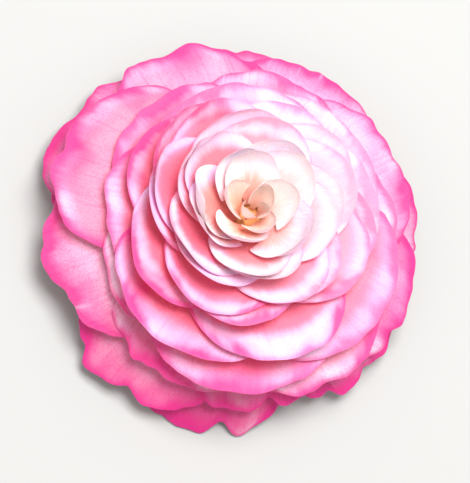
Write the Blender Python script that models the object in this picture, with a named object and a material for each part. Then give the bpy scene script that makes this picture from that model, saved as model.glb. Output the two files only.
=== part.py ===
"""A picked camellia bloom, face up, in metres with +Z up.

Fifty-four petals leave a small domed receptacle one after another, each turned by the golden angle
from the last, and lie one over the next like the layers of an opened bud. The outermost petals
arch down to the surface and carry the bloom. Five bud scales cup it below, round a short cut stalk.
"""
import math

import bmesh
import bpy
from mathutils import Vector, noise

MM = 0.001

# The bloom's size, in millimetres.
BLOOM_RADIUS = 50.0
BLOOM_HEIGHT = 37.0
HEART_DIP = 4.0
HEART_RADIUS = 1.8

# Petals, counted from the outermost inwards.
PETAL_COUNT = 54
GOLDEN_ANGLE = math.radians(137.508)
FIRST_PETAL_AZIMUTH = math.radians(300.0)
PETAL_THICKNESS = 0.34
PETAL_ROOT_HALF_ANGLE = math.radians(17.0)
OUTER_HALF_ANGLE = math.radians(33.0)
INNER_HALF_ANGLE = math.radians(58.0)
HEART_HALF_ANGLE = math.radians(72.0)
PETAL_LEAN = 0.95
PETAL_WAVE = 0.6

# Petals that grew a little off the spiral: number, then turn in degrees and relative length.
PETAL_NUDGES = {
    0: (0.0, 1.02),
    1: (5.0, 1.0),
    2: (0.0, 0.92),
    3: (0.0, 0.96),
    4: (0.0, 1.04),
    5: (4.0, 1.05),
    7: (5.0, 1.09),
    8: (-5.0, 0.93),
    9: (4.0, 1.02),
    10: (0.0, 1.03),
    12: (3.0, 1.05),
    13: (-5.0, 0.94),
    15: (-8.0, 1.08),
    17: (0.0, 0.88),
    18: (0.0, 0.86),
    19: (0.0, 0.88),
    20: (0.0, 0.88),
    21: (0.0, 1.06),
    22: (0.0, 0.88),
    23: (0.0, 0.88),
    24: (0.0, 1.04),
    25: (0.0, 0.88),
    26: (0.0, 1.06),
    27: (0.0, 0.88),
    28: (0.0, 0.88),
    29: (-6.0, 1.10),
    30: (0.0, 0.9),
    31: (8.0, 1.04),
    34: (-6.0, 1.05),
}

# How a petal's outline and place change across and along it.
OUTER_CORNER = 0.26
INNER_CORNER = 0.14
CORNER_POWER = 2.6
WIDEST_ALONG = 0.75
TIP_START = 0.70
TIP_REACH = 0.58
WAVE_ACROSS = 1.3
WAVE_ALONG = 1.6
WAVE_STEP = 3.7

# The family of profiles: shares of the way from the outermost petal to the axis, and slopes in degrees.
ROOT_TURN_OUTER = 104.0
ROOT_TURN_INNER = 10.0
RIM_LOW = 0.5
RIM_SPREAD_POWER = 1.95
RIM_TAPER_POWER = 1.1
RIM_CLIMB_POWER = 1.5
HEART_START = 0.85
ROOT_SLOPE_OUTER = -5.0
ROOT_SLOPE_GAIN = 60.0
ROOT_SLOPE_HEART = 30.0
RIM_SLOPE_OUTER = -38.0
RIM_SLOPE_GAIN = 122.0
RIM_SLOPE_HEART = 20.0
ROOT_PULL = 0.40
RIM_PULL_OUTER = 0.33
RIM_PULL_GAIN = 0.12
LAYER_SPARE = 0.03

# Receptacle and stalk.
RECEPTACLE_RADIUS = 7.3
RECEPTACLE_RISE = 9.3
RECEPTACLE_MIDDLE = 12.0
STALK_RADIUS = 1.7
STALK_FOOT = 0.8
ROOT_GAP = 0.7

# The bloom's steep side, where the inner petals stand up more than elsewhere.
STEEP_SIDE = math.radians(195.0)
STEEP_WIDTH = math.radians(55.0)
STEEP_RISE = 35.0
STEEP_START = 0.2
STEEP_GROWTH = 0.55
STEEP_END = 0.8
STEEP_DECAY = 0.18

# Bud scales, counted from the lowest up.
SCALE_COUNT = 5
SCALE_THICKNESS = 0.5
SCALE_AZIMUTH = math.radians(20.0)
SCALE_HALF_ANGLE = math.radians(46.0)
SCALE_CORNER = 0.30

# The slow unevenness that the whole bloom shares.
SWAY = 1.1
SWAY_LENGTH = 24.0
SWAY_SHIFTS = (Vector((3.1, 7.7, 1.3)), Vector((11.4, 2.9, 5.6)), Vector((6.4, 13.8, 9.1)))

# How the five kinds of petal are named: node name, and its first petal's number.
PETAL_ROWS = (
    ("guard_petal", 0),
    ("outer_petal", 10),
    ("middle_petal", 21),
    ("inner_petal", 32),
    ("heart_petal", 43),
)

# Linear colours, from the outermost petals to the heart.
GUARD_PINK = (0.80, 0.22, 0.38)
HEART_CREAM = (0.92, 0.78, 0.66)
SCALE_GREEN = (0.16, 0.19, 0.06)
STALK_GREEN = (0.20, 0.26, 0.08)


def remove_everything():
    for old in list(bpy.data.objects):
        bpy.data.objects.remove(old, do_unlink=True)


def blend(low, high, amount):
    return low + (high - low) * amount


def ease(amount):
    """Smooth step from 0 to 1."""
    amount = min(max(amount, 0.0), 1.0)
    return amount * amount * (3.0 - 2.0 * amount)


def material(name, colour, roughness):
    made = bpy.data.materials.new(name)
    made.use_nodes = True
    shader = made.node_tree.nodes["Principled BSDF"]
    shader.inputs["Base Color"].default_value = (*colour, 1.0)
    shader.inputs["Roughness"].default_value = roughness
    shader.inputs["Metallic"].default_value = 0.0
    return made


# A layer runs from 0, under the outermost petal, to 1 at the bloom's axis. Each layer is a profile in
# the plane of radius and height: it leaves the receptacle, and ends at the petal's rim.

def profile_root(layer):
    turn = math.radians(blend(ROOT_TURN_OUTER, ROOT_TURN_INNER, layer))
    radius = (RECEPTACLE_RADIUS + ROOT_GAP) * math.sin(turn)
    height = RECEPTACLE_MIDDLE + (RECEPTACLE_RISE + ROOT_GAP) * math.cos(turn)
    return Vector((radius, height))


def heart_share(layer):
    """0 for open petals, and up to 1 for the innermost of the heart."""
    return ease((layer - HEART_START) / (1.0 - HEART_START))


def profile_rim(layer):
    open_share = max(0.0, 1.0 - abs(layer) ** RIM_SPREAD_POWER) ** RIM_TAPER_POWER
    radius = blend(HEART_RADIUS, BLOOM_RADIUS, open_share)
    height = blend(RIM_LOW, BLOOM_HEIGHT, 1.0 - max(0.0, 1.0 - layer) ** RIM_CLIMB_POWER)
    return Vector((radius, height - HEART_DIP * heart_share(layer)))


def steepness(layer, azimuth):
    """Extra rise, in degrees, of the inner petals' rims on the bloom's steep side."""
    away = (azimuth - STEEP_SIDE + math.pi) % (2.0 * math.pi) - math.pi
    grown = ease((layer - STEEP_START) / STEEP_GROWTH)
    decayed = ease((layer - STEEP_END) / STEEP_DECAY)
    return STEEP_RISE * grown * (1.0 - decayed) * math.exp(-((away / STEEP_WIDTH) ** 2))


def slanted(length, slope):
    """Step of a length, in the plane of radius and height, at a slope in degrees."""
    return length * Vector((math.cos(math.radians(slope)), math.sin(math.radians(slope))))


def profile_point(layer, along, azimuth):
    """Point on a layer's profile: outer petals arch over and down, inner ones curve up like bowls."""
    layer = min(max(layer, -LAYER_SPARE), 1.0 + LAYER_SPARE)
    root = profile_root(layer)
    rim = profile_rim(layer)
    chord = (rim - root).length
    upright = min(max(layer, 0.0) / HEART_START, 1.0)
    root_slope = ROOT_SLOPE_OUTER + ROOT_SLOPE_GAIN * layer + ROOT_SLOPE_HEART * layer ** 6
    rim_slope = RIM_SLOPE_OUTER + RIM_SLOPE_GAIN * upright ** 1.5 + RIM_SLOPE_HEART * heart_share(layer)
    rim_slope += steepness(layer, azimuth)
    rim_pull = chord * (RIM_PULL_OUTER + RIM_PULL_GAIN * upright)
    leave = root + slanted(ROOT_PULL * chord, root_slope)
    arrive = rim - slanted(rim_pull, rim_slope)
    rest = 1.0 - along
    return (
        root * rest ** 3
        + leave * 3.0 * rest * rest * along
        + arrive * 3.0 * rest * along * along
        + rim * along ** 3
    )


def sway(place):
    """Bend that every petal shares, so that neighbours stay clear of each other."""
    spot = place / SWAY_LENGTH
    return Vector([noise.noise(spot + shift) for shift in SWAY_SHIFTS]) * SWAY


def petal_half_angle(layer, along):
    """Half of a petal's spread round the axis: narrow root, widest past the middle, rounded tip."""
    widest = blend(OUTER_HALF_ANGLE, INNER_HALF_ANGLE, ease(layer / WIDEST_ALONG))
    widest = blend(widest, HEART_HALF_ANGLE, heart_share(layer))
    spread = blend(PETAL_ROOT_HALF_ANGLE, widest, ease(along / WIDEST_ALONG))
    tip = max(0.0, (along - TIP_START) / TIP_REACH)
    return spread * math.sqrt(1.0 - tip * tip)


def petal_point(number, across, along):
    """Point of a petal's middle sheet, for across from -1 to 1 and along from 0 to 1."""
    layer = number / (PETAL_COUNT - 1)
    nudge, length = PETAL_NUDGES.get(number, (0.0, 1.0))
    azimuth = FIRST_PETAL_AZIMUTH + GOLDEN_ANGLE * number + math.radians(nudge)
    corner = blend(OUTER_CORNER, INNER_CORNER, ease(layer / 0.6))
    reach = along * length * (1.0 - corner * abs(across) ** CORNER_POWER)
    wave = noise.noise(Vector((across * WAVE_ACROSS, along * WAVE_ALONG, number * WAVE_STEP)))
    steps = wave * PETAL_WAVE * blend(0.3, 1.3, ease(along))
    steps += PETAL_LEAN * across * ease(along * 1.6)
    turn = azimuth + across * petal_half_angle(layer, along)
    radius, height = profile_point(layer + steps / (PETAL_COUNT - 1), reach, turn)
    place = Vector((radius * math.cos(turn), radius * math.sin(turn), height))
    return (place + sway(place) * ease(along)) * MM


def scale_point(number, across, along):
    """Point of a bud scale's middle sheet: a blunt cupped scale that lies under the petals."""
    layer = number / (SCALE_COUNT - 1)
    azimuth = SCALE_AZIMUTH + GOLDEN_ANGLE * number
    root = Vector((blend(2.8, 6.2, layer), blend(3.7, 7.2, layer)))
    rim = Vector((blend(12.0, 17.0, layer), blend(5.6, 8.3, layer)))
    knee = Vector((blend(7.0, 11.0, layer), blend(3.2, 6.9, layer)))
    reach = along * (1.0 - SCALE_CORNER * across * across)
    rest = 1.0 - reach
    radius, height = root * rest * rest + knee * 2.0 * rest * reach + rim * reach * reach
    turn = azimuth + across * SCALE_HALF_ANGLE * math.sqrt(1.0 - 0.5 * along * along)
    return Vector((radius * math.cos(turn), radius * math.sin(turn), height)) * MM


def sheet(name, shape, number, cells_across, cells_along, thickness, look):
    """One petal or scale: a flat grid laid along its shape, then given its thickness."""
    grid = bmesh.new()
    bmesh.ops.create_grid(grid, x_segments=cells_across, y_segments=cells_along, size=1.0)
    for vertex in grid.verts:
        vertex.co = shape(number, -vertex.co.x, 0.5 + 0.5 * vertex.co.y)
    mesh = bpy.data.meshes.new(name)
    grid.to_mesh(mesh)
    grid.free()
    mesh.shade_smooth()
    made = bpy.data.objects.new(name, mesh)
    bpy.context.collection.objects.link(made)
    wall = made.modifiers.new("thickness", 'SOLIDIFY')
    wall.thickness = thickness * MM
    wall.offset = 0.0
    wall.use_even_offset = True
    mesh.materials.append(look)
    return made


def petal_names():
    """Node name of every petal, by its number from the outermost."""
    names = []
    for number in range(PETAL_COUNT):
        row, first = [kind for kind in PETAL_ROWS if kind[1] <= number][-1]
        names.append(f"{row}_{number - first + 1}")
    return names


def make_petals():
    for number, name in enumerate(petal_names()):
        layer = number / (PETAL_COUNT - 1)
        colour = [blend(a, b, ease(layer * 1.2)) for a, b in zip(GUARD_PINK, HEART_CREAM)]
        small = layer > 0.78
        sheet(
            name, petal_point, number,
            6 if small else 8, 5 if small else 6,
            PETAL_THICKNESS, material(name, colour, 0.5),
        )


def make_scales():
    for number in range(SCALE_COUNT):
        name = f"bud_scale_{number + 1}"
        sheet(name, scale_point, number, 6, 4, SCALE_THICKNESS, material(name, SCALE_GREEN, 0.7))


def make_receptacle():
    """Stalk and receptacle, one piece: a profile turned about the axis and closed at both ends."""
    outline = [
        (STALK_RADIUS, STALK_FOOT),
        (STALK_RADIUS, 2.2),
        (2.0, 3.4),
        (3.0, 4.8),
        (5.2, 7.0),
    ]
    for degrees in (104, 88, 70, 50, 30, 12):
        turn = math.radians(degrees)
        outline.append((
            RECEPTACLE_RADIUS * math.sin(turn),
            RECEPTACLE_MIDDLE + RECEPTACLE_RISE * math.cos(turn),
        ))
    turned = bmesh.new()
    points = [turned.verts.new((radius * MM, 0.0, height * MM)) for radius, height in outline]
    edges = [turned.edges.new(pair) for pair in zip(points, points[1:])]
    bmesh.ops.spin(
        turned, geom=points + edges, cent=(0.0, 0.0, 0.0), axis=(0.0, 0.0, 1.0),
        angle=math.tau, steps=18, use_merge=True,
    )
    bmesh.ops.remove_doubles(turned, verts=turned.verts[:], dist=0.01 * MM)
    bmesh.ops.holes_fill(turned, edges=turned.edges[:], sides=0)
    bmesh.ops.recalc_face_normals(turned, faces=turned.faces[:])
    mesh = bpy.data.meshes.new("receptacle_and_stalk")
    turned.to_mesh(mesh)
    turned.free()
    mesh.shade_smooth()
    mesh.materials.append(material("receptacle_and_stalk", STALK_GREEN, 0.6))
    made = bpy.data.objects.new("receptacle_and_stalk", mesh)
    bpy.context.collection.objects.link(made)
    return made


def stand_on_origin():
    """Moves every piece together, so that the origin is under the middle of the bloom's box."""
    pieces = list(bpy.context.scene.objects)
    bpy.context.view_layer.update()
    depsgraph = bpy.context.evaluated_depsgraph_get()
    corners = []
    for piece in pieces:
        corners.extend(v.co.copy() for v in piece.evaluated_get(depsgraph).data.vertices)
    low = Vector([min(c[axis] for c in corners) for axis in range(3)])
    high = Vector([max(c[axis] for c in corners) for axis in range(3)])
    foot = Vector(((low.x + high.x) / 2.0, (low.y + high.y) / 2.0, low.z))
    for piece in pieces:
        for vertex in piece.data.vertices:
            vertex.co -= foot


remove_everything()
make_petals()
make_scales()
make_receptacle()
stand_on_origin()
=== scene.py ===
# %% [markdown]
# A camellia bloom of the formal-double kind is a lesson in repetition. Some fifty petals leave one small
# dome, each turned from the last by the golden angle, and each lying a little further in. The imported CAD
# model holds that order as plain solids, one to a petal. Here every petal is made again as a fine, ruffled
# sheet in the same place, and painted from its root to its rim.

import math

import bpy
from mathutils import Matrix, Vector, noise


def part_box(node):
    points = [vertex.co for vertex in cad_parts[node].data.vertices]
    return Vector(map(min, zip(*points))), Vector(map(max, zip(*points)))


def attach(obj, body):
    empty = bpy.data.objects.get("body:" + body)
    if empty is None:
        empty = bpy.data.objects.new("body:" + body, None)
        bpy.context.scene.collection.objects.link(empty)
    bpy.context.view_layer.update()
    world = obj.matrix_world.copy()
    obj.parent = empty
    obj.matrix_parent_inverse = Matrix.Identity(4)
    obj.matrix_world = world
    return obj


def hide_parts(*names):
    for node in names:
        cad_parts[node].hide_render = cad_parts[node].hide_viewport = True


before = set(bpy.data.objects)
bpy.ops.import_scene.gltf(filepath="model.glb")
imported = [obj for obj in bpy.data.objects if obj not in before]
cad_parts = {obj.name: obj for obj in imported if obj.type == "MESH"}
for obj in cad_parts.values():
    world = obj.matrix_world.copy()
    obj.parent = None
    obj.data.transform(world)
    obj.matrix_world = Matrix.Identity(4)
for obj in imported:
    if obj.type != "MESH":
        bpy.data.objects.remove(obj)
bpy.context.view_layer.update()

# %% [markdown]
# The bloom's own axis isn't quite in the middle of its box, because no flower is quite round. The stalk is
# turned about that axis, so the stalk's box tells where it is. Petals are worked out in millimetres from a
# point on the axis, which keeps the numbers easy to picture, and turned into metres at the very end.

# %% Find the bloom's axis and foot
MM = 0.001
STALK_RADIUS = 1.7
STALK_FOOT = 0.8
stalk_low, stalk_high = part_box("receptacle_and_stalk")
foot = (stalk_low + stalk_high) / 2.0
foot.z = stalk_low.z - STALK_FOOT * MM
print("axis foot in mm:", [round(1000.0 * part, 2) for part in foot])


def blend(low, high, amount):
    return low + (high - low) * amount


def ease(amount):
    """Smooth step from 0 to 1."""
    amount = min(max(amount, 0.0), 1.0)
    return amount * amount * (3.0 - 2.0 * amount)


def mixed(first, second, amount):
    """Colour between two colours."""
    return tuple(blend(a, b, amount) for a, b in zip(first, second))


def turn_between(azimuth, side):
    """Angle from a side of the bloom to an azimuth, between half a turn back and half a turn on."""
    return (azimuth - side + math.pi) % math.tau - math.pi


# %% [markdown]
# Camera first, because everything is judged through it. It looks down on the bloom from the front, twenty
# degrees off the flower's axis, and it is rolled, so that the heart of the flower leans to the upper right.
# A long lens from 42 cm keeps the petals' proportions natural. A matrix of right, up and back directions
# places it in one go, with no shift.

# %% Place the camera
CAMERA_RISE = math.radians(70.5)
CAMERA_ROLL = math.radians(40.0)
CAMERA_DISTANCE = 0.42
VIEW_HEIGHT = 0.1198
AIM_HEIGHT = 0.015
AIM_LEFT = 0.0021
AIM_DOWN = 0.0045
back = Vector((0.0, -math.cos(CAMERA_RISE), math.sin(CAMERA_RISE)))
level = Vector((1.0, 0.0, 0.0))
climb = back.cross(level)
right = level * math.cos(CAMERA_ROLL) + climb * math.sin(CAMERA_ROLL)
up = climb * math.cos(CAMERA_ROLL) - level * math.sin(CAMERA_ROLL)
aim = Vector((foot.x, foot.y, AIM_HEIGHT)) - right * AIM_LEFT - up * AIM_DOWN
lens = bpy.data.cameras.new("camera")
lens.sensor_width = 36.0
lens.lens = lens.sensor_width * CAMERA_DISTANCE / VIEW_HEIGHT
camera = bpy.data.objects.new("camera", lens)
bpy.context.scene.collection.objects.link(camera)
turned = Matrix((right, up, back)).transposed().to_4x4()
camera.matrix_world = Matrix.Translation(aim + back * CAMERA_DISTANCE) @ turned
bpy.context.scene.camera = camera
print("lens in mm:", round(lens.lens, 1))

# %% [markdown]
# A plain pale floor and soft studio light. One large lamp stands on the side that the heart leans to, so the
# near, lower petals fall into gentle shade, and a weak one opposite keeps that shade from going black. The
# standard view transform keeps the pinks clean instead of greying them.

# %% Floor, lamps and sky
bpy.ops.object.select_all(action='DESELECT')
bpy.ops.mesh.primitive_plane_add(size=3.0, location=(0.0, 0.0, -0.0001))
floor = bpy.context.object
floor.name = "floor"
pale = bpy.data.materials.new("pale_floor")
pale.use_nodes = True
pale.node_tree.nodes["Principled BSDF"].inputs["Base Color"].default_value = (0.50, 0.50, 0.49, 1.0)
pale.node_tree.nodes["Principled BSDF"].inputs["Roughness"].default_value = 0.9
floor.data.materials.append(pale)


def lamp(name, place, power, size):
    """Square soft lamp that faces the bloom."""
    light = bpy.data.lights.new(name, 'AREA')
    light.energy = power
    light.size = size
    holder = bpy.data.objects.new(name, light)
    holder.location = place
    holder.rotation_euler = (Vector((0.0, 0.0, AIM_HEIGHT)) - place).to_track_quat('-Z', 'Y').to_euler()
    bpy.context.scene.collection.objects.link(holder)
    return holder


lamp("key_lamp", (up * 0.45 + right * 0.35 + back * 1.0) * 0.5, 4.5, 0.30)
lamp("fill_lamp", (up * -0.5 - right * 0.6 + back * 0.8) * 0.6, 0.6, 0.5)
sky = bpy.data.worlds.new("studio")
sky.use_nodes = True
sky.node_tree.nodes["Background"].inputs["Color"].default_value = (1.0, 0.99, 0.98, 1.0)
sky.node_tree.nodes["Background"].inputs["Strength"].default_value = 0.60
bpy.context.scene.world = sky
bpy.context.scene.view_settings.view_transform = 'Standard'

# %% [markdown]
# Petals share one family of side profiles. Layer 0 is under the outermost petal and layer 1 is the axis.
# A low layer leaves the receptacle nearly level and arches down at its rim, and a high one curves up like
# the wall of a bowl. Each profile is a cubic curve between a root and a rim, and neighbouring layers never
# cross, so petals that keep to their own layers stay clear of each other. The bloom has not opened evenly:
# on one side its inner petals still stand almost upright, so on that side their rims get some extra rise.

# %% The family of profiles
BLOOM_RADIUS = 50.0
BLOOM_HEIGHT = 37.0
HEART_DIP = 4.0
HEART_RADIUS = 1.8
RECEPTACLE_RADIUS = 7.3
RECEPTACLE_RISE = 9.3
RECEPTACLE_MIDDLE = 12.0
ROOT_GAP = 0.7
STEEP_SIDE = math.radians(195.0)
STEEP_WIDTH = math.radians(55.0)
STEEP_RISE = 55.0


def profile_root(layer):
    turn = math.radians(blend(104.0, 10.0, layer))
    radius = (RECEPTACLE_RADIUS + ROOT_GAP) * math.sin(turn)
    height = RECEPTACLE_MIDDLE + (RECEPTACLE_RISE + ROOT_GAP) * math.cos(turn)
    return Vector((radius, height))


def profile_rim(layer):
    open_share = max(0.0, 1.0 - abs(layer) ** 1.95) ** 1.1
    radius = blend(HEART_RADIUS, BLOOM_RADIUS, open_share)
    height = 0.5 + (BLOOM_HEIGHT - 0.5) * (1.0 - max(0.0, 1.0 - layer) ** 1.5)
    return Vector((radius, height - HEART_DIP * ease((layer - 0.85) / 0.15)))


def steepness(layer, azimuth):
    """Extra rise, in degrees, of the inner petals' rims on the bloom's steep side."""
    away = turn_between(azimuth, STEEP_SIDE)
    middle = ease((layer - 0.2) / 0.55) * (1.0 - ease((layer - 0.8) / 0.18))
    return STEEP_RISE * middle * math.exp(-((away / STEEP_WIDTH) ** 2))


def profile_point(layer, along, azimuth):
    layer = min(max(layer, -0.03), 1.03)
    root = profile_root(layer)
    rim = profile_rim(layer)
    chord = (rim - root).length
    upright = min(max(layer, 0.0) / 0.85, 1.0)
    root_rise = math.radians(-5.0 + 60.0 * layer + 30.0 * abs(layer) ** 6)
    rim_rise = -38.0 + 122.0 * upright ** 1.5 + 20.0 * ease((layer - 0.85) / 0.15)
    rim_rise = math.radians(rim_rise + steepness(layer, azimuth))
    bowl = 0.33 + 0.12 * upright
    leave = root + 0.40 * chord * Vector((math.cos(root_rise), math.sin(root_rise)))
    arrive = rim - bowl * chord * Vector((math.cos(rim_rise), math.sin(rim_rise)))
    rest = 1.0 - along
    return (
        root * rest ** 3
        + leave * 3.0 * rest * rest * along
        + arrive * 3.0 * rest * along * along
        + rim * along ** 3
    )


print("outermost rim:", tuple(round(part, 1) for part in profile_point(0.0, 1.0, 0.0)))
print("innermost rim:", tuple(round(part, 1) for part in profile_point(1.0, 1.0, 0.0)))

# %% [markdown]
# A petal is a patch on one of these layers. Across it runs from -1 to 1 and along it from root to rim. It is
# narrow at the root and wide past the middle. Four small departures make it alive: it leans, one edge in and
# one out; slow waves run through it; its rim ruffles and curls; and its outline is notched and scalloped,
# as real camellia petals are. Towards the heart the petals end in a blunt point and fold along their middle,
# like an open book. Noise that depends only on the petal's number and side makes each one different. Crowded
# petals must not pass through each other, so the ruffles fade towards the heart, and the two sheets of a
# nested pair start well apart at the root.

# %% One petal's shape
PETAL_COUNT = 54
GOLDEN_ANGLE = math.radians(137.508)
FIRST_PETAL_AZIMUTH = math.radians(300.0)
PETAL_ROOT_HALF_ANGLE = math.radians(17.0)
OUTER_HALF_ANGLE = math.radians(33.0)
INNER_HALF_ANGLE = math.radians(58.0)
HEART_HALF_ANGLE = math.radians(72.0)
PETAL_LEAN = 0.95
PETAL_WAVE = 0.6
RUFFLE = 0.75
FOLD = 0.35
HEART_FOLD = 1.7
SPEAR_SIDE = math.radians(200.0)
SPEAR_WIDTH = math.radians(62.0)
PAIR_TURN = math.radians(8.0)
PAIR_SEED_STEP = 0.37
PAIR_ROOT_GAP = 0.8
PAIR_RIM_GAP = 0.3
SWAY = 1.1
SWAY_LENGTH = 24.0
SWAY_SHIFTS = (Vector((3.1, 7.7, 1.3)), Vector((11.4, 2.9, 5.6)), Vector((6.4, 13.8, 9.1)))
EDGE_SOFTNESS = 1.6
# Extra turn in degrees, and length as a share of the full length, of the petals that differ from the rest.
PETAL_NUDGES = {
    0: (0.0, 1.02),
    1: (5.0, 1.0),
    2: (0.0, 0.92),
    3: (0.0, 0.96),
    4: (0.0, 1.04),
    5: (4.0, 1.05),
    7: (5.0, 1.09),
    8: (-5.0, 0.93),
    9: (4.0, 1.02),
    10: (0.0, 1.03),
    12: (3.0, 1.05),
    13: (-5.0, 0.94),
    15: (-8.0, 1.08),
    17: (0.0, 0.88),
    18: (0.0, 0.86),
    19: (0.0, 0.88),
    20: (0.0, 0.88),
    21: (0.0, 1.06),
    22: (0.0, 0.88),
    23: (0.0, 0.88),
    24: (0.0, 1.04),
    25: (0.0, 0.88),
    26: (0.0, 1.06),
    27: (0.0, 0.88),
    28: (0.0, 0.88),
    29: (-6.0, 1.10),
    30: (0.0, 0.9),
    31: (8.0, 1.04),
    34: (-6.0, 1.05),
}


def petal_seed(key):
    """Number that the noise of one sheet starts from. The key is the petal's number and the sheet's side."""
    number, side = key
    return number + PAIR_SEED_STEP * side


def chance(number, kind):
    """Steady value from -1 to 1 for one trait of one petal."""
    return noise.noise(Vector((number * 7.31 + 0.5, kind * 3.17 + 0.5, 0.5))) * 1.6


def petal_half_angle(layer, along):
    widest = blend(OUTER_HALF_ANGLE, INNER_HALF_ANGLE, ease(layer / 0.75))
    widest = blend(widest, HEART_HALF_ANGLE, ease((layer - 0.84) / 0.16))
    spread = blend(PETAL_ROOT_HALF_ANGLE, widest, ease(along / 0.75))
    tip = max(0.0, (along - 0.70) / 0.58)
    return spread * math.sqrt(1.0 - tip * tip)


def spear_share(layer, azimuth):
    """How much a petal is one of the pointed ones on the bloom's steep side."""
    away = turn_between(azimuth, SPEAR_SIDE)
    inner = ease((layer - 0.56) / 0.08) * (1.0 - ease((layer - 0.93) / 0.04))
    return inner * math.exp(-((away / SPEAR_WIDTH) ** 4))


def petal_outline(seed, layer, across, spear):
    """How far the petal reaches at this place across it, as a share of its own length."""
    pointed = ease((layer - 0.46) / 0.16)
    corner = blend(blend(0.26, 0.14, ease(layer / 0.6)), 0.40, pointed)
    corner = blend(corner, 0.32, ease((layer - 0.86) / 0.06))
    corner = blend(corner, 0.42, spear)
    keen = max(spear, ease((layer - 0.88) / 0.05))
    rounded = 1.0 - corner * abs(across) ** blend(blend(2.6, 1.7, pointed), 1.3, keen)
    notch = blend(0.085, 0.010, ease(layer / 0.45)) * (0.6 + 0.6 * abs(chance(seed, 1)))
    notch *= math.exp(-abs((across - 0.45 * chance(seed, 2)) / 0.085) ** 1.5)
    second = blend(0.065, 0.0, ease(layer / 0.4))
    second *= math.exp(-(((across - 0.75 * chance(seed, 3)) / 0.07) ** 2))
    scallop = 0.044 * noise.noise(Vector((across * 4.2, seed * 2.3, 4.0)))
    fray = 0.016 * noise.noise(Vector((across * 13.0, seed * 5.1, 9.0)))
    calm = blend(1.0, 0.45, ease((layer - 0.25) / 0.25))
    return rounded - (notch + second) * (1.0 - pointed) + (scallop + fray) * calm


def petal_steps(number, across, along):
    """How many layers further in than its own the petal lies at one of its points."""
    wave = noise.noise(Vector((across * 1.3, along * 1.6, number * 3.7)))
    return wave * PETAL_WAVE * blend(0.3, 1.3, ease(along)) + PETAL_LEAN * across * ease(along * 1.6)


def petal_frill(seed, layer, across, along):
    """Steps that the fine ruffles, the curl and the crease add."""
    rim = ease((along - 0.55) / 0.45)
    open_share = 1.0 - ease((layer - 0.45) / 0.2)
    ruffle = noise.noise(Vector((across * 3.4, along * 1.5, seed * 6.1 + 2.0)))
    frill = noise.noise(Vector((across * 8.5, along * 2.0, seed * 4.3 + 5.0)))
    lively = blend(1.0, 0.05, ease((layer - 0.25) / 0.3))
    steps = RUFFLE * rim * (ruffle + 0.3 * frill * rim) * lively
    steps -= 0.5 * (0.3 + chance(seed, 5)) * ease((along - 0.86) / 0.14) * open_share
    steps -= 0.22 * math.exp(-((across / 0.10) ** 2)) * ease(along * 2.0) * open_share
    fold = blend(FOLD, HEART_FOLD, ease((layer - 0.86) / 0.08))
    return steps + fold * (1.0 - open_share) * (abs(across) ** 1.4 - 0.35) * ease(along * 1.4)


def petal_point(key, across, along):
    """Place of one point of a petal's middle sheet, in metres. The key is its number and its side."""
    number, side = key
    seed = petal_seed(key)
    layer = number / (PETAL_COUNT - 1)
    nudge, length = PETAL_NUDGES.get(number, (0.0, 1.0))
    azimuth = FIRST_PETAL_AZIMUTH + GOLDEN_ANGLE * number + math.radians(nudge)
    spear = spear_share(layer, azimuth)
    outline = petal_outline(seed, layer, across, spear)
    outline = blend(1.0 - 0.2 * abs(across) ** 2.6, outline, ease((along - 0.3) / 0.7))
    reach = along * length * outline * (1.0 + 0.03 * side * chance(number, 7))
    steps = petal_steps(number, across, along)
    steps += petal_frill(seed, layer, across, along)
    steps += side * blend(PAIR_ROOT_GAP, PAIR_RIM_GAP, ease(along * 1.5))
    turn = azimuth - side * PAIR_TURN
    turn += across * petal_half_angle(layer, along) * (1.0 - 0.1 * spear)
    radius, height = profile_point(layer + steps / (PETAL_COUNT - 1), reach, turn)
    place = Vector((radius * math.cos(turn), radius * math.sin(turn), height))
    spot = place / SWAY_LENGTH
    sway = Vector([noise.noise(spot + shift) for shift in SWAY_SHIFTS]) * SWAY
    return foot + (place + sway * ease(along)) * MM


def petal_rim_distance(key, across, along):
    """Rough distance in millimetres from a point of the petal to its free edge."""
    number, side = key
    layer = number / (PETAL_COUNT - 1)
    length = (profile_rim(layer) - profile_root(layer)).length
    radius = profile_point(layer, along, 0.0).x
    to_tip = (1.0 - along) * length
    to_side = (1.0 - abs(across)) * petal_half_angle(layer, along) * radius
    to_side += 12.0 * (1.0 - ease((along - 0.2) / 0.5))
    nearness = math.exp(-to_tip / EDGE_SOFTNESS) + math.exp(-to_side / EDGE_SOFTNESS)
    return -EDGE_SOFTNESS * math.log(nearness)


print("one petal tip in mm:", [round(1000.0 * part, 1) for part in petal_point((24, 0), 0.0, 1.0)])

# %% [markdown]
# The sheet itself starts as a flat grid, the primitive that already has even rows and a UV map. Each of its
# points is moved to its place on the petal, with the rows set closer towards the rim, where the frills are.
# Solidify then gives the sheet its wall, under a fifth of a millimetre and thinner towards the rim, and one
# level of subdivision rounds the cut edge. A vertex group carries how full the wall is at each point.

# %% From flat grid to petal sheet
SHEET_THICKNESS = 0.16 * MM


def clear_selection():
    if bpy.context.object and bpy.context.object.mode != 'OBJECT':
        bpy.ops.object.mode_set(mode='OBJECT')
    bpy.ops.object.select_all(action='DESELECT')


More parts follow.
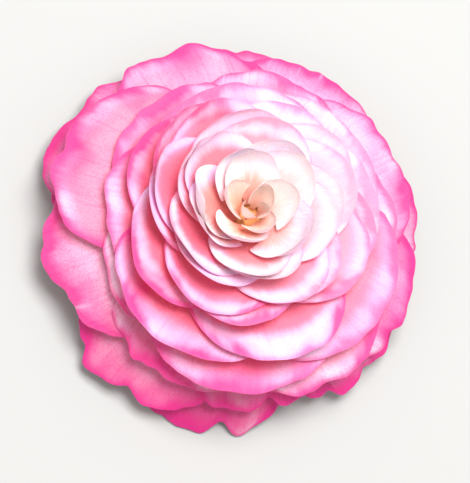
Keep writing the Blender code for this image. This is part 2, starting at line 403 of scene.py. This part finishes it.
def laid_sheet(name, shape, rim_distance, key, columns, rows, thickness):
    """Grid laid along shape(key, across, along), with its wall, rim distance and UV map."""
    clear_selection()
    bpy.ops.mesh.primitive_grid_add(x_subdivisions=columns, y_subdivisions=rows, size=2.0)
    piece = bpy.context.object
    piece.name = name
    mesh = piece.data
    mesh.name = name
    places = []
    for vertex in mesh.vertices:
        along = 1.0 - (0.5 - 0.5 * vertex.co.y) ** 1.35
        places.append((-vertex.co.x, along))
    to_rim = [rim_distance(key, across, along) for across, along in places]
    for vertex, (across, along) in zip(mesh.vertices, places):
        vertex.co = shape(key, across, along)
    mesh.attributes.new("rim_mm", 'FLOAT', 'POINT').data.foreach_set("value", to_rim)
    chart = mesh.uv_layers[0].data
    for loop in mesh.loops:
        across, along = places[loop.vertex_index]
        chart[loop.index].uv = (0.5 + 0.5 * across, along)
    fullness = piece.vertex_groups.new(name="fullness")
    for index, distance in enumerate(to_rim):
        fullness.add([index], blend(0.35, 1.0, ease(distance / 3.0)), 'REPLACE')
    wall = piece.modifiers.new("wall", 'SOLIDIFY')
    wall.thickness = thickness
    wall.offset = 0.0
    wall.vertex_group = fullness.name
    bpy.ops.object.modifier_apply(modifier=wall.name)
    smooth = piece.modifiers.new("smooth", 'SUBSURF')
    smooth.levels = 1
    smooth.render_levels = 1
    bpy.ops.object.modifier_apply(modifier=smooth.name)
    bpy.ops.object.shade_smooth()
    return piece


# %% [markdown]
# Shaders are easier to read as sums than as wires. The small class below wraps one output socket, so that
# ordinary operators add the Math nodes, and a second class builds a material: its one method makes any
# node from its type, its settings, and the values or links of its sockets.

# %% Shader arithmetic
class Signal:
    """An output socket that takes part in ordinary arithmetic."""

    def __init__(self, paint, socket):
        self.paint = paint
        self.socket = socket

    def maths(self, operation, first, second):
        settings = {"operation": operation}
        return self.paint.node("ShaderNodeMath", settings, {0: first, 1: second})

    def __add__(self, other):
        return self.maths('ADD', self, other)

    __radd__ = __add__

    def __sub__(self, other):
        return self.maths('SUBTRACT', self, other)

    def __rsub__(self, other):
        return self.maths('SUBTRACT', other, self)

    def __mul__(self, other):
        return self.maths('MULTIPLY', self, other)

    __rmul__ = __mul__


class Paint:
    """One material, built node by node."""

    def __init__(self, name, constants):
        self.material = bpy.data.materials.new(name)
        self.material.use_nodes = True
        self.tree = self.material.node_tree
        self.shader = self.tree.nodes["Principled BSDF"]
        for socket, value in constants.items():
            self.shader.inputs[socket].default_value = value

    def node(self, kind, settings=None, sockets=None, output=0):
        made = self.tree.nodes.new(kind)
        for name, value in (settings or {}).items():
            if name == "stops":
                while len(made.color_ramp.elements) < len(value):
                    made.color_ramp.elements.new(1.0)
                for element, (position, colour) in zip(made.color_ramp.elements, value):
                    element.position = position
                    element.color = colour
            else:
                setattr(made, name, value)
        for key, value in (sockets or {}).items():
            self.feed(made.inputs[key], value)
        return Signal(self, made.outputs[output])

    def feed(self, socket, value):
        if isinstance(value, Signal):
            self.tree.links.new(value.socket, socket)
        elif isinstance(value, tuple) and len(value) == 3 and socket.type == 'RGBA':
            socket.default_value = (*value, 1.0)
        else:
            socket.default_value = value

    def mix(self, amount, first, second):
        """Colour between two colours or colour signals."""
        settings = {"data_type": 'RGBA', "clamp_factor": True}
        return self.node("ShaderNodeMix", settings, {0: amount, 6: first, 7: second}, 2)

    def step(self, signal, low, high):
        """0 below low, 1 above high, and smooth between."""
        settings = {"interpolation_type": 'SMOOTHSTEP'}
        return self.node("ShaderNodeMapRange", settings, {0: signal, 1: low, 2: high})

    def noise(self, place, scale, detail=2.0, roughness=0.5):
        sockets = {"Vector": place, "Scale": scale, "Detail": detail, "Roughness": roughness}
        return self.node("ShaderNodeTexNoise", None, sockets)

    def stretched(self, source, move, scale):
        """Coordinates moved and stretched, so that one pattern differs from petal to petal."""
        sockets = {"Vector": source, "Location": move, "Scale": scale}
        return self.node("ShaderNodeMapping", None, sockets)

    def finish(self, colour, roughness, height, distance, strength):
        bump = {"Height": height, "Distance": distance, "Strength": strength}
        self.feed(self.shader.inputs["Base Color"], colour)
        self.feed(self.shader.inputs["Roughness"], roughness)
        self.feed(self.shader.inputs["Normal"], self.node("ShaderNodeBump", None, bump))
        return self.material


# %% [markdown]
# A petal of this flower is painted in passes, each laid over the one before. The body goes from deep rose on
# the guard petals through pink and white to cream in the heart, with soft clouds of a deeper and a paler
# tone. The heart's cream is partly its own colour and partly painted glow, so that its shade reads peach.
# The root is painted coral, and peach in the heart, as painted shade and glow where the petals above cover
# it and light comes through them.
# The rim carries magenta in broken patches, with lilac on the inner petals, and fine streaks and speckles
# follow the veins from root to rim. One side of the bloom is painted paler, as painted light where it is
# lit brightest, so every pass is weaker there. Fresh petals are thin and moist, so a little light scatters
# under the surface, which is set as constants on the shader. The heart's short, stiff petals scatter
# hardly any.

# %% Petal paint
PETAL_CONSTANTS = {
    "Subsurface Weight": 0.3,
    "Subsurface Radius": (1.0, 0.35, 0.5),
    "Subsurface Scale": 0.0015,
    "Specular IOR Level": 0.25,
    "Sheen Weight": 0.04,
    "Sheen Roughness": 0.5,
}
HEART_CONSTANTS = PETAL_CONSTANTS | {"Subsurface Weight": 0.05}
ROSE = (0.66, 0.105, 0.29)
PINK = (0.93, 0.37, 0.68)
ORCHID = (0.94, 0.57, 0.84)
BLUSH = (0.95, 0.72, 0.88)
WHITE = (0.97, 0.93, 0.92)
MAGENTA = (0.76, 0.014, 0.20)
# Painted shade and glow: coral for the root in the crevices between petals, peach for the root in the heart.
CREVICE_SHADE_CORAL = (0.93, 0.10, 0.17)
CREVICE_GLOW_PEACH = (0.94, 0.36, 0.19)
BODY_COLOURS = ((0.0, ROSE), (0.13, PINK), (0.3, ORCHID), (0.6, BLUSH), (0.82, WHITE), (1.0, WHITE))
LILAC = (0.84, 0.52, 0.88)
# Cream of the heart, partly its own colour and partly painted glow.
CREAM = (0.99, 0.80, 0.66)
COVERING_STEPS = 5.0
PAIRED_COVERING_STEPS = 3.0
# Side of the bloom, and its width, where painted light makes the petals paler.
LIT_SIDE = math.radians(70.0)
LIT_WIDTH = math.radians(65.0)
# How much further along the body colours a petal is than its layer says.
PETAL_TONES = {
    0: -0.05, 1: 0.13, 3: 0.02, 4: 0.20, 5: -0.05, 6: -0.03, 7: 0.06, 8: -0.08, 9: 0.14, 10: 0.16,
    11: -0.08, 12: 0.04, 15: 0.10, 21: -0.28, 24: -0.18, 26: -0.06, 29: -0.12,
}


def along_stops(stops, place):
    """Colour at a place between the stops of a list."""
    for (low, first), (high, second) in zip(stops, stops[1:]):
        if place <= high:
            return mixed(first, second, (place - low) / (high - low))
    return stops[-1][1]


def covered_share(layer, steps):
    """Share of a petal's length that the petals above it hide."""
    edge = profile_rim(layer + steps / (PETAL_COUNT - 1)).x
    for step in range(100):
        if profile_point(layer, step / 100.0, 0.0).x > edge:
            return step / 100.0
    return 0.5


def petal_paint(name, key):
    number, side = key
    seed = petal_seed(key)
    layer = number / (PETAL_COUNT - 1)
    paint = Paint(name, HEART_CONSTANTS if layer > 0.86 else PETAL_CONSTANTS)
    chart = paint.node("ShaderNodeTexCoord", None, None, 2)
    solid = paint.node("ShaderNodeTexCoord", None, None, 3)
    rim = paint.node("ShaderNodeAttribute", {"attribute_name": "rim_mm"}, None, 2)
    along = paint.node("ShaderNodeSeparateXYZ", None, {0: chart}, 1)
    move = (seed * 3.7, seed * 1.9, 0.0)
    veins = paint.noise(paint.stretched(chart, move, (46.0, 1.8, 1.0)), 1.0, 3.0, 0.6)
    streaks = paint.noise(paint.stretched(chart, move, (14.0, 1.3, 1.0)), 1.0, 2.0, 0.55)
    clouds = paint.noise(solid, 90.0, 2.0, 0.5)
    blots = paint.noise(paint.stretched(chart, move, (3.2, 1.4, 1.0)), 1.0, 2.0, 0.5)
    grain = paint.noise(solid, 1900.0, 2.0, 0.7)

    # Painted light: on the lit side the body is painted paler, and the painted root shade, the rim magenta
    # and the lilac are all weaker.
    away = turn_between(GOLDEN_ANGLE * number + FIRST_PETAL_AZIMUTH, LIT_SIDE)
    lit_side_share = math.exp(-((away / LIT_WIDTH) ** 2))
    painted_light_share = lit_side_share * ease((layer - 0.22) / 0.2)
    tone = max(layer + PETAL_TONES.get(number, 0.0) + 0.04 * chance(seed, 11), 0.0)
    # Cream over the heart petals: partly their own colour and partly painted glow, so that their shade reads
    # peach instead of grey.
    body = mixed(along_stops(BODY_COLOURS, tone), CREAM, 0.7 * ease((layer - 0.88) / 0.08))
    body = mixed(body, WHITE, 0.4 * painted_light_share)
    deeper = mixed(body, along_stops(BODY_COLOURS, max(tone - 0.22, 0.0)), 0.6)
    paler = mixed(body, WHITE, 0.55 * (1.0 - ease(layer / 0.9)))
    colour = paint.mix(paint.step(clouds, 0.40, 0.66), body, deeper)
    colour = paint.mix(paint.step(blots, 0.48, 0.68) * 0.8, colour, paler)

    # Painted shade and glow: the covered part of the petal is painted coral, and peach in the heart, where
    # the petals above shade it and light comes through them. Less of it is painted on the lit side.
    root = mixed(body, CREVICE_SHADE_CORAL, blend(0.30, 1.0, ease(layer / 0.45)))
    root = mixed(root, CREVICE_GLOW_PEACH, ease((layer - 0.74) / 0.2))
    crowded = number >= PAIRED_PETALS[0]
    hidden = covered_share(layer, PAIRED_COVERING_STEPS if crowded else COVERING_STEPS)
    start = hidden - 0.06
    end = blend(hidden, 1.0, 0.62 + 0.3 * chance(seed, 12) + 0.25 * ease((layer - 0.9) / 0.06))
    place = along + (streaks - 0.5) * 0.5 * (1.0 - hidden)
    painted_shade_strength = blend(0.7, 0.9, ease(layer / 0.5)) * (1.0 - 0.55 * lit_side_share)
    colour = paint.mix((1.0 - paint.step(place, start, end)) * painted_shade_strength, colour, root)

    # Rim magenta, and the lilac below, are weaker where painted light pales the lit side.
    strength = blend(1.0, 0.0, ease((layer - 0.55) / 0.35)) * (1.0 - 0.5 * painted_light_share)
    tint = rim + (blots - 0.5) * 20.0 + (clouds - 0.5) * 8.0
    tint_share = 1.0 - paint.step(tint, 0.0, blend(11.0, 6.0, ease(layer / 0.5)))
    colour = paint.mix(tint_share * 0.6 * strength, colour, MAGENTA)
    edge = rim + (streaks - 0.5) * 5.0 + (blots - 0.5) * 10.0
    edge_share = 1.0 - paint.step(edge, 0.0, blend(4.5, 2.5, ease(layer / 0.5)))
    colour = paint.mix(edge_share * 0.8 * strength, colour, MAGENTA)
    lilac_share = paint.step(blots, 0.40, 0.66) * (1.0 - paint.step(rim, 2.0, 8.0))
    lilac_amount = 0.75 * ease((layer - 0.3) / 0.3) * (1.0 - ease((layer - 0.82) / 0.1))
    lilac_amount *= 1.0 - 0.7 * painted_light_share
    colour = paint.mix(lilac_share * lilac_amount, colour, LILAC)
    line = (1.0 - paint.step(rim, 0.1, 1.3)) * paint.step(blots, 0.3, 0.6)
    colour = paint.mix(line * blend(0.6, 0.1, ease(layer)), colour, MAGENTA)

    vein_share = paint.step(veins, 0.48, 0.74) * blend(0.34, 0.06, ease(layer * 1.2))
    colour = paint.mix(vein_share, colour, MAGENTA)
    speckle = paint.step(grain, 0.46, 0.66) * blend(0.34, 0.04, ease(layer / 0.8))
    colour = paint.mix(speckle, colour, MAGENTA)
    fleck = paint.step(streaks, 0.68, 0.78) * (1.0 - paint.step(rim, 1.0, 6.0))
    colour = paint.mix(fleck * 0.5 * (1.0 - layer), colour, BLUSH)

    roughness = 0.42 + 0.18 * clouds
    height = veins + 0.35 * grain
    return paint.finish(colour, roughness, height, 0.0004, 0.6)


# %% [markdown]
# Now the petals themselves, outermost first. Each takes the name of its CAD petal with a word added, stands
# for it, and rides on the one body. The inner part of a camellia is the most crowded, so each CAD petal there
# is a pair of thin petals on the real flower, one nested just inside the other and turned a little the other
# way. Heart petals are small, so they get a coarser grid.

# %% Make all the petals
PAIRED_PETALS = range(32, 47)
PETAL_ROWS = (
    ("guard_petal", 0),
    ("outer_petal", 10),
    ("middle_petal", 21),
    ("inner_petal", 32),
    ("heart_petal", 43),
)


def petal_row(number):
    """The row that a petal belongs to, and the number that the row starts at."""
    return [row for row in PETAL_ROWS if row[1] <= number][-1]


def make_petals(number):
    """The fine sheets that stand for one CAD petal: one, or a nested pair in the inner part."""
    row, first = petal_row(number)
    node = f"{row}_{number - first + 1}"
    paired = number in PAIRED_PETALS
    columns, rows = (38, 24) if number < PAIRED_PETALS[0] else (30, 20)
    sides = {"outer": -1, "inner": 1} if paired else {"fine": 0}
    made = []
    for word, side in sides.items():
        key = (number, side)
        piece = laid_sheet(
            f"{node}_{word}", petal_point, petal_rim_distance, key, columns, rows, SHEET_THICKNESS)
        piece.data.materials.append(petal_paint(f"{node}_{word}_paint", key))
        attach(piece, "root")
        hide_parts(node)
        made.append(piece)
    return made


petals = [piece for number in range(PETAL_COUNT) for piece in make_petals(number)]
print("petals:", len(petals), "faces:", sum(len(petal.data.polygons) for petal in petals))

# %% [markdown]
# Under the petals five bud scales make a shallow cup. They are stiffer and thicker than petals, blunt, green
# going brown at the edge, with a silky nap of fine lengthwise hairs. The same sheet helper lays them, each
# on a short curve from the stalk to the underside of the guard petals.

# %% Bud scales
SCALE_COUNT = 5
SCALE_THICKNESS = 0.45 * MM
SCALE_GREEN = (0.17, 0.22, 0.06)
SCALE_BROWN = (0.20, 0.12, 0.05)
SCALE_SILK = (0.45, 0.46, 0.26)


def scale_point(number, across, along):
    layer = number / (SCALE_COUNT - 1)
    azimuth = math.radians(20.0) + GOLDEN_ANGLE * number
    root = Vector((blend(2.8, 6.2, layer), blend(3.7, 7.2, layer)))
    rim = Vector((blend(12.0, 17.0, layer), blend(5.6, 8.3, layer)))
    knee = Vector((blend(7.0, 11.0, layer), blend(3.2, 6.9, layer)))
    reach = along * (1.0 - 0.30 * across * across)
    rest = 1.0 - reach
    radius, height = root * rest * rest + knee * 2.0 * rest * reach + rim * reach * reach
    turn = azimuth + across * math.radians(46.0) * math.sqrt(1.0 - 0.5 * along * along)
    return foot + Vector((radius * math.cos(turn), radius * math.sin(turn), height)) * MM


def scale_rim_distance(number, across, along):
    return 9.0 * min(1.0 - along, 1.0 - abs(across))


def scale_paint(name, number):
    paint = Paint(name, {"Sheen Weight": 0.5, "Sheen Roughness": 0.4, "Specular IOR Level": 0.3})
    chart = paint.node("ShaderNodeTexCoord", None, None, 2)
    solid = paint.node("ShaderNodeTexCoord", None, None, 3)
    rim = paint.node("ShaderNodeAttribute", {"attribute_name": "rim_mm"}, None, 2)
    seed = (number * 2.3, number * 4.1, 0.0)
    hairs = paint.noise(paint.stretched(chart, seed, (90.0, 4.0, 1.0)), 1.0, 3.0, 0.65)
    clouds = paint.noise(solid, 260.0, 3.0)
    colour = paint.mix(paint.step(clouds, 0.35, 0.7), SCALE_GREEN, mixed(SCALE_GREEN, SCALE_SILK, 0.3))
    colour = paint.mix(paint.step(hairs, 0.5, 0.8) * 0.6, colour, SCALE_SILK)
    colour = paint.mix(1.0 - paint.step(rim + clouds, 0.6, 2.2), colour, SCALE_BROWN)
    return paint.finish(colour, 0.55 + 0.25 * hairs, hairs, 0.0002, 0.7)


for number in range(SCALE_COUNT):
    node = f"bud_scale_{number + 1}"
    scale = laid_sheet(
        node + "_fine", scale_point, scale_rim_distance, number, 22, 16, SCALE_THICKNESS)
    scale.data.materials.append(scale_paint(node + "_paint", number))
    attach(scale, "root")
    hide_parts(node)
print("bud scales:", SCALE_COUNT)

# %% [markdown]
# The receptacle and stalk are one turned shape. It is built as by hand: a ring of points at the cut foot is
# filled, then extruded upwards ring by ring, each new ring widened or narrowed to the profile, and closed at
# the top. Its dome glows pale at the heart of the flower, and its stalk is green with a dry brown cut.

# %% Receptacle and stalk
RING_POINTS = 48
outline = [(STALK_RADIUS, 2.2), (2.0, 3.4), (3.0, 4.8), (5.2, 7.0)]
for degrees in (104, 96, 88, 79, 70, 60, 50, 40, 30, 21, 12):
    turn = math.radians(degrees)
    outline.append((
        RECEPTACLE_RADIUS * math.sin(turn),
        RECEPTACLE_MIDDLE + RECEPTACLE_RISE * math.cos(turn),
    ))
clear_selection()
bpy.ops.mesh.primitive_circle_add(
    vertices=RING_POINTS, radius=STALK_RADIUS * MM, fill_type='NGON',
    location=foot + Vector((0.0, 0.0, STALK_FOOT * MM)))
receptacle = bpy.context.object
receptacle.name = "receptacle_and_stalk_fine"
bpy.ops.object.transform_apply(location=True, rotation=True, scale=True)
bpy.ops.object.mode_set(mode='EDIT')
bpy.ops.mesh.select_all(action='SELECT')
ring_radius, ring_height = STALK_RADIUS, STALK_FOOT
for radius, height in outline:
    rise = (height - ring_height) * MM
    bpy.ops.mesh.extrude_region_move(TRANSFORM_OT_translate={"value": (0.0, 0.0, rise)})
    growth = radius / ring_radius
    middle = foot + Vector((0.0, 0.0, height * MM))
    bpy.ops.transform.resize(value=(growth, growth, 1.0), center_override=middle)
    ring_radius, ring_height = radius, height
bpy.ops.mesh.select_all(action='SELECT')
bpy.ops.mesh.normals_make_consistent(inside=False)
bpy.ops.object.mode_set(mode='OBJECT')
bpy.ops.object.shade_smooth_by_angle(angle=math.radians(50.0))
print("receptacle points:", len(receptacle.data.vertices))

# %% Receptacle and stalk finish
STALK_GREEN = (0.20, 0.26, 0.08)
CUT_BROWN = (0.26, 0.17, 0.08)
HEART_PALE = (0.72, 0.30, 0.10)
paint = Paint("receptacle_paint", {"Specular IOR Level": 0.3, "Subsurface Scale": 0.001})
solid = paint.node("ShaderNodeTexCoord", None, None, 3)
height = paint.node("ShaderNodeSeparateXYZ", None, {0: solid}, 2)
bark = paint.noise(paint.stretched(solid, (0.0, 0.0, 0.0), (1.0, 1.0, 0.35)), 1400.0, 3.0, 0.6)
colour = paint.mix(paint.step(bark, 0.4, 0.7), STALK_GREEN, mixed(STALK_GREEN, CUT_BROWN, 0.6))
colour = paint.mix(1.0 - paint.step(height, foot.z + 0.0008, foot.z + 0.0012), colour, CUT_BROWN)
colour = paint.mix(paint.step(height, foot.z + 0.009, foot.z + 0.013), colour, HEART_PALE)
receptacle.data.materials.append(paint.finish(colour, 0.5 + 0.3 * bark, bark, 0.0002, 0.6))
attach(receptacle, "root")
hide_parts("receptacle_and_stalk")
